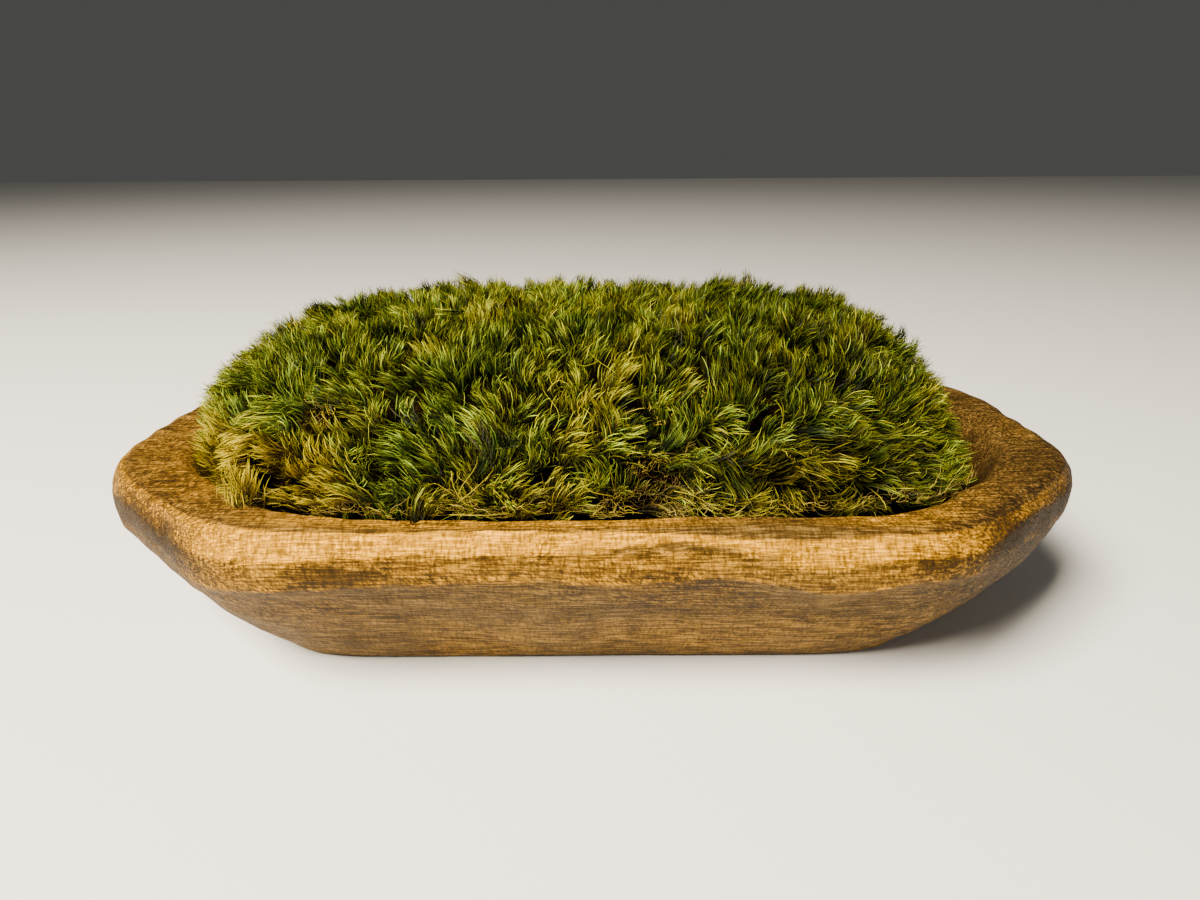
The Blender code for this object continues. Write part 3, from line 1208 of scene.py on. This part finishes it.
    def locks(self, rng: np.random.Generator, surface: Surface, places: np.ndarray) -> Locks:
        """Combs the shoots into locks.

        Args:
            rng: the random draws.
            surface: the mound's surface.
            places: where the shoots stand.

        Returns:
            The lock of each shoot.
        """
        middles, _ = surface.scatter(rng, self.lock_spacing)
        gaps = np.linalg.norm(places[:, None] - middles, axis=-1)
        nearest = np.argsort(gaps, axis=1)[:, :2]
        first, second = np.take_along_axis(gaps, nearest, axis=1).T
        number = nearest[:, 0]
        edge = 1 - fade(second - first, 0.0, self.lock_edge)
        lean = rng.normal(size=middles.shape)[number]
        lift = rng.normal(size=len(middles))[number]
        tone = rng.normal(size=len(middles))[number]
        return Locks(len(middles), number, middles[number], edge, lean, lift, tone)

    def shoots(self) -> Shoots:
        """Plants the shoots.

        Neighbouring shoots lean together in locks, which sit higher in the middle than between
        them, so the surface reads as combed tufts with shade between.

        Returns:
            The shoots of the whole mound.
        """
        rng = np.random.default_rng(self.seed)
        surface = self.surface()
        places, normals = surface.scatter(rng, self.shoot_spacing)
        grown = self.sink(places) < self.open_depth
        places, normals = places[grown], normals[grown]
        count = len(places)
        locks = self.locks(rng, surface, places)
        # The leaves stand out from the surface more at the foot and right of the middle
        low = 1 - fade(places[:, 2], 47 * MM, 55 * MM)
        standing = 0.4 + 0.35 * low + 0.3 * fade(places[:, 0], 10 * MM, 40 * MM)
        flow = self.lie(places)
        stems = unit(
            standing[:, None] * normals
            + flow
            + self.lock_lean * locks.lean
            + self.lock_spread * (places - locks.centres)
            + self.own_lean * rng.normal(size=places.shape)
        )
        swing = rng.choice((-1.0, 1.0), locks.count)[locks.number] * rng.uniform(0.45, 1.3, count)
        bends = unit(np.cross(normals, flow)) * swing[:, None] + 0.15 * normals
        height = (0.5 * locks.lift - 2.5 * locks.edge + 0.8 * rng.normal(size=count)) * MM
        sunk = self.sink(places)
        places = places + normals * height[:, None]
        vigour = 1 + 0.12 * rng.normal(size=count) - 0.35 * fade(sunk, 0.8, 2.5)
        tints = self.tints(rng, places, locks, sunk)
        return Shoots(places, normals, stems, bends, vigour, *tints)

    def tints(
        self, rng: np.random.Generator, places: np.ndarray, locks: Locks, sunk: np.ndarray
    ) -> tuple[np.ndarray, np.ndarray, np.ndarray]:
        """Colours the shoots by where they stand on the front, in mm.

        Args:
            rng: the random draws.
            places: where the shoots stand.
            locks: the lock of each shoot.
            sunk: how deep it is sunk in a parting, in mm.

        Returns:
            How golden, how brown and how light each shoot is.
        """
        x, y, z = (places / MM).T
        patches = SmoothField(51, 24 * MM).at(places)
        # Gold tufts: many low at the left, fewer low at two places to the right
        low_front = (1 - fade(z, 54, 64)) * fade(-y, 22, 44)
        gold_left = (1 - fade(z, 58, 67)) * fade(-y, 18, 40) * (1 - fade(x, -60, -50))
        gold_right = 0.5 * low_front * np.exp(-(((x - 48) / 15) ** 2))
        gold_middle = 0.45 * low_front * np.exp(-(((x + 8) / 13) ** 2))
        green_fan = low_front * np.exp(-(((x + 47) / 6) ** 2))
        golden = 0.2 - 0.1 * fade(x, 10, 60) + 0.12 * patches + 0.08 * locks.tone
        golden += 0.9 * gold_left + gold_right + gold_middle - 0.45 * green_fan
        # Dead leaves: at the foot, and low in the seams
        seam_left = np.abs(x - self.seam(self.left_seam, places[:, 1]) / MM)
        seam_right = np.abs(x - self.seam(self.right_seam, places[:, 1]) / MM)
        in_seam = np.exp(-((seam_right / 8) ** 2)) + 0.5 * np.exp(-((seam_left / 4) ** 2))
        brown = 0.45 * (1 - fade(z, 46, 48.5)) + 0.6 * in_seam * (1 - fade(z, 56, 68))
        brown *= rng.uniform(0.3, 1.3, len(x))
        # Shade: between locks, in partings, on the top, at the left end and to the right
        light = 1.05 + 0.12 * locks.tone - 0.5 * locks.edge
        light += 0.14 * SmoothField(52, 14 * MM).at(places)
        light += 0.3 * gold_left - 0.36 * fade(z, 66, 82) - 0.2 * fade(-x, 70, 96)
        light -= 0.06 + 0.46 * fade(x, 0, 50) + 0.12 * fade(x, 50, 90)
        light -= 0.4 * fade(sunk, 0.5, 2.5)
        light *= np.exp(0.16 * rng.normal(size=len(x)))
        return np.clip(golden, 0, 1), np.clip(brown, 0, 1), np.clip(light, 0.3, 1.6)

    def on_side(self, places: np.ndarray, side: Side) -> np.ndarray:
        """Finds the places that belong to a cushion.

        Args:
            places: places on the mound.
            side: the cushion.

        Returns:
            Whether each place belongs to it.
        """
        past_left = places[:, 0] > self.seam(self.left_seam, places[:, 1])
        past_right = places[:, 0] > self.seam(self.right_seam, places[:, 1])
        return past_left.astype(int) + past_right == list(Side).index(side)


@dataclass
class MossCushion:
    """One cushion of moss: shoots that each carry a tuft of long curved leaves."""

    side: Side
    shoots: Shoots
    leaves: int = 32
    leaf_length: float = 8.8 * MM
    leaf_width: float = 0.24 * MM
    # Where along a leaf its vertices lie, from 0 to 1, and its share of the width there
    stations: Row = (0.0, 0.3, 0.56, 0.8, 1.0)
    widths: Row = (0.7, 1.0, 0.8, 0.42)
    # Painted shade on one edge of each flat leaf and a painted highlight on the other and the tip,
    # as a channelled leaf would show: how light its two edges and its tip are
    channel: Point = (0.6, 1.35, 1.2)
    # The share of leaves that stand out of their tuft
    strays: float = 0.07
    # What the duff shrinks towards: a rounded block with this middle and half size
    duff_middle: Point = (-4.5 * MM, 0.0, 40 * MM)
    duff_half: Point = (104 * MM, 62.5 * MM, 43 * MM)
    duff_depth: float = 7.5 * MM

    def leaf_lines(self, shoots: Shoots, rng: np.random.Generator) -> np.ndarray:
        """Bends every leaf's midrib.

        Args:
            shoots: what each leaf grows from.
            rng: the random draws.

        Returns:
            Four points a leaf, for a Bezier curve.
        """
        count = len(shoots.places)
        across = unit(np.cross(shoots.stems, shoots.normals))
        over = np.cross(across, shoots.stems)
        turn = rng.uniform(0, 2 * np.pi, count)[:, None]
        outward = 1.15 * np.cos(turn) * across + 0.6 * np.sin(turn) * over
        stray = (rng.uniform(size=count) < self.strays)[:, None]
        spread = rng.uniform(0.05, 0.55, count)[:, None] + 0.5 * stray
        curl = rng.uniform(0.6, 1.3, count)[:, None] * np.exp(0.3 * rng.normal(size=(count, 1)))
        swung = curl * (shoots.bends + 0.3 * rng.normal(size=(count, 3)))
        length = self.leaf_length * shoots.vigour * (0.55 + 0.8 * rng.uniform(size=count) ** 1.6)
        roots = shoots.places - shoots.stems * (length * rng.uniform(0.7, 1.0, count))[:, None]
        roots += outward * 0.4 * MM + 0.3 * MM * rng.normal(size=roots.shape)
        # A tuft is shaped like a flame: its leaves bow out, close again and swing to one side
        close = np.where(stray, 0.8, -0.25)
        ways = (
            (shoots.stems + 0.95 * spread * outward - 0.5 * swung, 0.36),
            (shoots.stems + 0.3 * spread * outward + 0.25 * swung, 0.34),
            (0.75 * shoots.stems + close * spread * outward + 1.15 * swung, 0.3),
        )
        bends = [roots]
        for way, share in ways:
            bends.append(bends[-1] + unit(way) * (length * share)[:, None])
        # Tips that would stand over the mound's surface are lowered to it, give or take a little
        over_surface = ((bends[-1] - shoots.places) * shoots.normals).sum(axis=1)
        lowered = np.maximum(over_surface - rng.uniform(-1.0, 1.6, count) * MM, 0.0)
        rising = np.array((0.0, 0.35, 0.75, 1.0))[:, None, None] * lowered[:, None]
        return np.stack(bends, axis=1) - (rising * shoots.normals).transpose(1, 0, 2)

    def grow(self, shoots: Shoots, rng: np.random.Generator) -> tuple[np.ndarray, np.ndarray]:
        """Grows the leaves.

        Args:
            shoots: what they grow from.
            rng: the random draws.

        Returns:
            Vertices as leaves by vertices by XYZ, and four painted numbers for each of them.
        """
        leaf = shoots.only(np.repeat(np.arange(len(shoots.places)), self.leaves))
        count = len(leaf.places)
        control = self.leaf_lines(leaf, rng)
        at = np.array(self.stations)
        back = 1 - at
        slopes = np.stack((-(back**2), back * (1 - 3 * at), at * (2 - 3 * at), at**2))
        ribs = np.einsum("ks,nkx->nsx", curve_weights(at), control)
        heading = unit(np.einsum("ks,nkx->nsx", slopes, control))
        facing = unit(leaf.normals + 1.1 * rng.normal(size=(count, 3)))
        edge = unit(np.cross(heading, facing[:, None, :]))
        width = self.leaf_width * rng.uniform(0.65, 1.25, count)
        half = edge[:, :-1] * (width[:, None] * np.array(self.widths) / 2)[..., None]
        points = np.concatenate((ribs[:, :-1] - half, ribs[:, :-1] + half, ribs[:, -1:]), axis=1)

        golden = np.clip(leaf.golden + 0.2 * rng.normal(size=count), 0, 1)
        brown = np.clip(leaf.brown + 0.12 * rng.normal(size=count) - 0.05, 0, 1)
        light = leaf.light * np.exp(0.85 * rng.normal(size=count) - 0.3)
        # Gold leaves are held darker, because bright ones would lose their colour
        brightest = 2.1 - 0.9 * golden
        painted = np.empty((*points.shape[:2], 4))
        painted[..., 0] = np.concatenate((at[:-1], at[:-1], at[-1:]))
        painted[..., 1] = golden[:, None]
        painted[..., 2] = brown[:, None]
        rows = len(self.widths)
        # Painted shade on one edge, painted highlight on the other edge and the tip
        channel = np.repeat(self.channel, (rows, rows, 1))
        painted[..., 3] = np.minimum(light, brightest)[:, None] * channel
        return points, painted

    def leaf_faces(self, count: int) -> list[np.ndarray]:
        """Joins each leaf's vertices: those of one edge, those of the other, then the tip.

        Args:
            count: how many leaves there are.

        Returns:
            Their faces: the ones with four corners up each leaf, and those at the tips.
        """
        rows = len(self.widths)
        quads = np.array([[a, a + 1, a + rows + 1, a + rows] for a in range(rows - 1)])
        tips = np.array([[rows - 1, 2 * rows, 2 * rows - 1]])
        first = (2 * rows + 1) * np.arange(count)[:, None, None]
        return [(first + quads).reshape(-1, 4), (first + tips).reshape(-1, 3)]

    def build_tufts(self, half: Half, leaf: bpy.types.Material) -> bpy.types.Object:
        """Builds the leaves of one half of the cushion.

        Args:
            half: which half.
            leaf: their material.

        Returns:
            The leaves, as one piece.
        """
        chosen = (self.shoots.places[:, 1] < 0) == (half is Half.FRONT)
        seed = [list(Side).index(self.side), half is Half.FRONT]
        points, painted = self.grow(self.shoots.only(chosen), np.random.default_rng(seed))
        faces = self.leaf_faces(len(points))
        name = f"{self.side.value}_moss_{half.value}_tufts"
        piece = new_piece(name, points.reshape(-1, 3), faces, leaf)
        paint(piece, "leaf", painted.reshape(-1, 4))
        return piece

    def build_duff(self, duff: bpy.types.Material) -> bpy.types.Object:
        """Builds the matted stems under the leaves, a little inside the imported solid.

        Args:
            duff: their material.

        Returns:
            The duff, as one piece.
        """
        surface = packed_surface(self.side.node)
        half = np.array(self.duff_half)
        outward = (surface.points - self.duff_middle) / half
        outward = unit(np.sign(outward) * np.abs(outward) ** 3 / half)
        inward = self.duff_depth * fade(surface.points[:, 2], 34 * MM, 47 * MM)[:, None]
        points = surface.points - outward * inward
        return new_piece(f"{self.side.value}_moss_duff", points, [surface.faces], duff)

    def build(
        self, leaf: bpy.types.Material, duff: bpy.types.Material
    ) -> list[bpy.types.Object]:
        """Builds the cushion, dressed.

        Args:
            leaf: the leaves' material.
            duff: the material of the stems under them.

        Returns:
            Its pieces.
        """
        pieces = [self.build_tufts(half, leaf) for half in Half]
        pieces.append(self.build_duff(duff))
        for piece in pieces:
            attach(piece, "root")
            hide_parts(self.side.node)
            self.side.slot
        return pieces


@dataclass
class FrontPlaces:
    """Places on the mound, found by x and height on its front, in mm."""

    places: np.ndarray
    normals: np.ndarray

    def within(self, x_from: float, x_to: float, low: float, high: float) -> np.ndarray:
        """Finds the places in a rectangle of the front.

        Args:
            x_from: its left edge.
            x_to: its right edge.
            low: its lower edge.
            high: its upper edge.

        Returns:
            Their numbers.
        """
        x, y, z = (self.places / MM).T
        return np.flatnonzero((y < 0) & (x > x_from) & (x < x_to) & (z > low) & (z < high))

    def nearest(self, x: float, height: float, count: int) -> np.ndarray:
        """Finds the places nearest to a point of the front.

        Args:
            x: its x.
            height: its height.
            count: how many places.

        Returns:
            Their numbers, the nearest first.
        """
        every_x, y, every_z = (self.places / MM).T
        gaps = np.where(y < 0, np.hypot(every_x - x, every_z - height), np.inf)
        return np.argsort(gaps)[:count]


@dataclass
class Stems:
    """Thin stems, as arrays with one row a stem: their joints, widths and painted numbers."""

    lines: np.ndarray
    widths: np.ndarray
    painted: np.ndarray


@dataclass
class MossLitter:
    """Dead curly stems, crumbs and stray strands that lie at the moss's foot and in its partings.

    Positions are given as x and height on the mound's front, in mm.
    """

    mound: MossMound
    stem_width: float = 0.12 * MM
    strand_width: float = 0.14 * MM
    # How far strands lie in front of the mound's surface, and everything above its foot
    strand_lift: float = 1.2 * MM
    clearance: float = 0.7 * MM
    joints: int = 9
    # How much of its width a stem has left at its end
    thin_end: float = 0.35
    seed: int = 31
    # Places to choose from, and how many of the nearest a heap of crumbs takes them from
    sampled: int = 60000
    heap: int = 60
    # x from and to, height from and to, how many, length, how far along the tan
    drifts: tuple[Row, ...] = (
        (-86.0, -52.0, 46.0, 49.0, 110, 5.5, 0.8),
        (-52.0, 8.0, 46.0, 49.2, 190, 5.0, 0.95),
        (3.0, 22.0, 46.0, 52.0, 90, 4.5, 0.75),
        (10.0, 21.0, 52.0, 60.0, 60, 4.0, 0.7),
        (20.0, 92.0, 46.0, 48.8, 170, 4.5, 0.8),
        (-61.0, -55.0, 64.0, 70.0, 24, 4.0, 0.7),
        (-30.0, -22.0, 48.0, 54.0, 16, 5.0, 1.0),
    )
    # x, height and how many crumbs
    crumbs: tuple[tuple[float, float, int], ...] = (
        (15.5, 67.0, 22),
        (25.0, 70.5, 14),
        (11.0, 58.5, 22),
        (24.0, 55.0, 12),
        (45.0, 60.0, 10),
        (30.0, 49.0, 14),
        (-58.5, 66.5, 8),
        (-16.0, 47.0, 14),
        (-78.0, 47.5, 14),
    )
    # Each strand: how green it is, then its x and height at each bend
    strands: tuple[tuple[float, tuple[tuple[float, float], ...]], ...] = (
        (0.0, ((-30.0, 46.6), (-25.7, 46.7), (-21.5, 47.3), (-17.0, 48.3))),
        (0.2, ((-28.8, 57.0), (-28.0, 52.5), (-25.8, 49.8), (-23.5, 50.3))),
        (0.2, ((-27.5, 50.5), (-24.5, 53.0), (-21.5, 56.0), (-19.5, 58.5))),
        (0.2, ((-27.8, 51.0), (-26.2, 54.5), (-24.0, 57.5), (-23.0, 60.5))),
        (0.2, ((-28.2, 51.5), (-30.5, 53.5), (-32.0, 54.5), (-33.5, 54.3))),
        (0.3, ((-8.7, 72.0), (-7.2, 73.6), (-5.8, 74.0), (-4.4, 73.2))),
        (0.3, ((-6.6, 73.7), (-6.2, 74.4), (-5.6, 75.0), (-5.2, 75.3))),
        (0.3, ((-7.6, 73.2), (-8.2, 74.2), (-8.6, 74.9), (-9.6, 75.1))),
        (0.9, ((6.0, 74.5), (4.0, 75.8), (1.5, 77.4), (-0.5, 79.0))),
        (0.9, ((4.0, 75.8), (4.8, 77.0), (5.2, 78.0), (5.6, 79.2))),
        (0.9, ((2.2, 77.0), (0.4, 76.6), (-1.2, 76.4), (-2.6, 76.8))),
        (0.9, ((1.0, 77.8), (1.6, 79.0), (1.8, 79.8), (2.4, 80.6))),
        (0.8, ((-7.4, 65.0), (-6.4, 68.5), (-8.6, 71.0), (-9.8, 73.4))),
        (0.8, ((-12.8, 73.0), (-13.6, 76.5), (-12.0, 78.8), (-9.6, 77.4))),
        (0.2, ((-1.6, 55.0), (0.5, 52.5), (3.6, 51.4), (6.4, 49.4))),
        (0.1, ((18.0, 51.5), (22.0, 50.8), (25.0, 49.2), (28.0, 47.8))),
    )

    def curl_stems(
        self,
        starts: np.ndarray,
        normals: np.ndarray,
        lengths: np.ndarray,
        tightness: float,
        rng: np.random.Generator,
    ) -> np.ndarray:
        """Lets curly stems wander over the surface.

        Args:
            starts: where each begins.
            normals: the surface's normals there.
            lengths: how long each is, in metres.
            tightness: how far each turns at a joint, in radians.
            rng: the random draws.

        Returns:
            Their joints, as stems by joints by XYZ.
        """
        count = len(starts)
        heading = unit(np.cross(normals, rng.normal(size=(count, 3))) + (0.2, 0.0, 0.0))
        turn = tightness * rng.normal(size=(count, 1))
        lines = [starts]
        for _ in range(self.joints - 1):
            turn = 0.8 * turn + 0.5 * tightness * rng.normal(size=(count, 1))
            sideways = np.cross(normals, heading)
            heading = heading + turn * sideways + 0.25 * rng.normal(size=(count, 3))
            heading = unit(heading - 0.6 * (heading * normals).sum(axis=1)[:, None] * normals)
            lines.append(lines[-1] + heading * (lengths / (self.joints - 1))[:, None])
        return np.stack(lines, axis=1)

    def drifted(self, front: FrontPlaces, rng: np.random.Generator) -> Iterator[Stems]:
        """Lays the drifts of dead stems.

        Args:
            front: where they can lie.
            rng: the random draws.

        Yields:
            The stems of each drift.
        """
        for x_from, x_to, low, high, most, length, tan in self.drifts:
            chosen = front.within(x_from, x_to, low, high)[: int(most)]
            count = len(chosen)
            normals = front.normals[chosen]
            lengths = length * MM * rng.uniform(0.5, 1.5, count)
            lift = rng.uniform(-0.6, 1.0, count)[:, None] * MM
            starts = front.places[chosen] + normals * lift
            lines = self.curl_stems(starts, normals, lengths, 0.5, rng)
            widths = self.stem_width * rng.uniform(0.6, 1.3, count)
            along = np.clip(tan + 0.22 * rng.normal(size=count), 0.3, 1.0)
            light = rng.uniform(0.4, 1.3, count)
            yellow = 0.65 * rng.uniform(size=count) * (along > 0.8)
            painted = np.stack((along, np.ones(count), 1.0 - yellow, light), axis=-1)
            yield Stems(lines, widths, painted)

    def crumbled(self, front: FrontPlaces, rng: np.random.Generator) -> Iterator[Stems]:
        """Heaps the crumbs, which are very short thick stems.

        Args:
            front: where they can lie.
            rng: the random draws.

        Yields:
            The crumbs of each heap.
        """
        for x, height, count in self.crumbs:
            chosen = rng.choice(front.nearest(x, height, self.heap), count, replace=False)
            normals = front.normals[chosen]
            lengths = rng.uniform(0.6, 1.2, count) * MM
            starts = front.places[chosen] + normals * rng.uniform(-0.5, 0.8, count)[:, None] * MM
            lines = self.curl_stems(starts, normals, lengths, 0.4, rng)
            widths = rng.uniform(0.2, 0.34, count) * MM
            light = rng.uniform(0.3, 0.7, count)
            golden, brown = np.full(count, 1.0), np.full(count, 0.4)
            yield Stems(lines, widths, np.stack((light + 0.2, golden, brown, light), axis=-1))

    def stranded(self, front: FrontPlaces) -> Iterator[Stems]:
        """Lays the stray strands, each a curve through its four bends.

        Args:
            front: the places that say how far forward the mound comes.

        Yields:
            Each strand.
        """
        weights = curve_weights(np.linspace(0, 1, self.joints))
        for green, bends in self.strands:
            through = []
            for x, height in bends:
                y = front.places[front.nearest(x, height, 1)[0], 1] - self.strand_lift
                through.append((x * MM, y, height * MM))
            first, second, third, fourth = np.array(through)
            # The curve's own middle points stand further out, to pull it through the bends
            one = (-5 * first + 18 * second - 9 * third + 2 * fourth) / 6
            two = (2 * first - 9 * second + 18 * third - 5 * fourth) / 6
            line = weights.T @ np.array((first, one, two, fourth))
            painted = np.array([[1.0, 1.0 - 0.7 * green, 0.35 * (1 - green), 0.95]])
            yield Stems(line[None], np.array([self.strand_width]), painted)

    def gather(self) -> Stems:
        """Lays everything out.

        Returns:
            All the stems, clear of the rim under them.
        """
        rng = np.random.default_rng(self.seed)
        front = FrontPlaces(*self.mound.surface().sample(rng, self.sampled))
        every = [*self.drifted(front, rng), *self.crumbled(front, rng), *self.stranded(front)]
        lines, widths, painted = (
            np.concatenate([getattr(one, part.name) for one in every]) for part in fields(Stems)
        )
        lines[..., 2] = np.maximum(lines[..., 2], self.mound.foot + self.clearance)
        return Stems(lines, widths, painted)

    def tubes(self, stems: Stems) -> np.ndarray:
        """Puts three-sided tubes round the stems, thinner towards their ends.

        Args:
            stems: the stems.

        Returns:
            Vertices as stems by joints by three by XYZ.
        """
        heading = unit(np.gradient(stems.lines, axis=1))
        side = unit(np.cross(heading, (0.3, -0.2, 0.93)))
        over = np.cross(side, heading)
        taper = np.linspace(1.0, self.thin_end, self.joints)
        radius = stems.widths[:, None, None] / 2 * taper[:, None]
        turns = (0.0, 2 * math.pi / 3, 4 * math.pi / 3)
        sides = [stems.lines + radius * (math.cos(a) * side + math.sin(a) * over) for a in turns]
        return np.stack(sides, axis=2)

    def build(self, leaf: bpy.types.Material) -> list[bpy.types.Object]:
        """Builds the litter of each cushion, dressed.

        Args:
            leaf: the leaves' material, which also holds the dead brown.

        Returns:
            Its pieces, one for each cushion.
        """
        stems = self.gather()
        tubes = self.tubes(stems)
        corners = 3 * self.joints
        ring = np.array([[0, 1, 4, 3], [1, 2, 5, 4], [2, 0, 3, 5]])
        quads = np.concatenate([ring + 3 * joint for joint in range(self.joints - 1)])
        ends = np.array([[0, 2, 1], [corners - 3, corners - 2, corners - 1]])
        pieces = []
        for side in Side:
            chosen = self.mound.on_side(stems.lines[:, self.joints // 2], side)
            first = corners * np.arange(chosen.sum())[:, None, None]
            faces = [(first + quads).reshape(-1, 4), (first + ends).reshape(-1, 3)]
            points = tubes[chosen].reshape(-1, 3)
            piece = new_piece(f"{side.value}_moss_litter", points, faces, leaf)
            paint(piece, "leaf", np.repeat(stems.painted[chosen], corners, axis=0))
            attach(piece, "root")
            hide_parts(side.node)
            side.slot
            pieces.append(piece)
        return pieces


@dataclass(frozen=True)
class SoftLight:
    """A soft square light that faces the object."""

    name: str
    place: Point
    side: float
    watts: float
    colour: str
    aim: Point = (0.0, 0.0, 50 * MM)

    def build(self) -> None:
        """Builds the light."""
        data = bpy.data.lights.new(self.name, "AREA")
        data.size, data.energy, data.color = self.side, self.watts, linear(self.colour)[:3]
        light = new_object(self.name, data)
        light.location = self.place
        towards = Vector(self.aim) - Vector(self.place)
        light.rotation_euler = towards.to_track_quat("-Z", "Y").to_euler()


@dataclass
class Studio:
    """The floor, the lights and the camera, which stands where the photograph was taken from."""

    camera_place: Point = (2.3 * MM, -218.7 * MM, 120.6 * MM)
    pitch: float = math.radians(20.6)
    roll: float = math.radians(-0.33)
    # The focal length and the picture's width in the photograph's pixels
    focal_pixels: float = 812.0
    picture_pixels: int = 1200
    nearest_seen: float = 5 * MM
    floor_reach: float = 3.0
    lights: tuple[SoftLight, ...] = (
        SoftLight("key light", (-0.5, -0.55, 0.87), 0.46, 69.0, "fff2de"),
        SoftLight("fill light", (-0.3, -1.3, 0.4), 0.8, 3.0, "fff8ee"),
    )
    surroundings: str = "e6e6e2"
    surroundings_strength: float = 0.09

    def build_camera(self) -> None:
        """Sets up the camera."""
        data = bpy.data.cameras.new("camera")
        data.lens = self.focal_pixels / self.picture_pixels * data.sensor_width
        data.clip_start = self.nearest_seen
        camera = new_object("camera", data)
        level, tilt = math.cos(self.roll), math.sin(self.roll)
        ahead, down = math.cos(self.pitch), math.sin(self.pitch)
        right = (level, tilt * down, tilt * ahead)
        upward = (-tilt, level * down, level * ahead)
        backward = (0.0, -ahead, down)
        turned = Matrix([right, upward, backward]).transposed().to_4x4()
        camera.matrix_world = Matrix.Translation(self.camera_place) @ turned
        bpy.context.scene.camera = camera

    def build_floor(self) -> None:
        """Lays the floor."""
        corners = self.floor_reach * np.array([(-1, -1, 0), (1, -1, 0), (1, 1, 0), (-1, 1, 0)])
        floor = new_piece("floor", corners, [np.array([[0, 1, 2, 3]])], PaleFloor().material())
        floor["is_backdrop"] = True

    def build(self) -> None:
        """Builds the studio."""
        self.build_camera()
        self.build_floor()
        for light in self.lights:
            light.build()
        world = bpy.data.worlds.new("studio")
        world.use_nodes = True
        background = world.node_tree.nodes["Background"]
        background.inputs["Color"].default_value = linear(self.surroundings)
        background.inputs["Strength"].default_value = self.surroundings_strength
        bpy.context.scene.world = world


def main() -> None:
    """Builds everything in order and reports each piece."""
    logging.basicConfig(level=logging.INFO, format="%(name)s: %(message)s")
    Studio().build()
    pieces = [CarvedBowl().build()]
    leaf, duff = MossLeaf().material(), ShadedMossDuff().material()
    mound = MossMound()
    shoots = mound.shoots()
    for side in Side:
        chosen = shoots.only(mound.on_side(shoots.places, side))
        pieces += MossCushion(side, chosen).build(leaf, duff)
    pieces += MossLitter(mound).build(leaf)
    for piece in pieces:
        log.info("%s: %d faces", piece.name, len(piece.data.polygons))
    sizes = {"packed": packed_bounds, "dressed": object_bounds()}
    plain = {name: np.array(bounds).tolist() for name, bounds in sizes.items()}
    log.info("sizes: %s", plain)


if __name__ == "__main__":
    main()
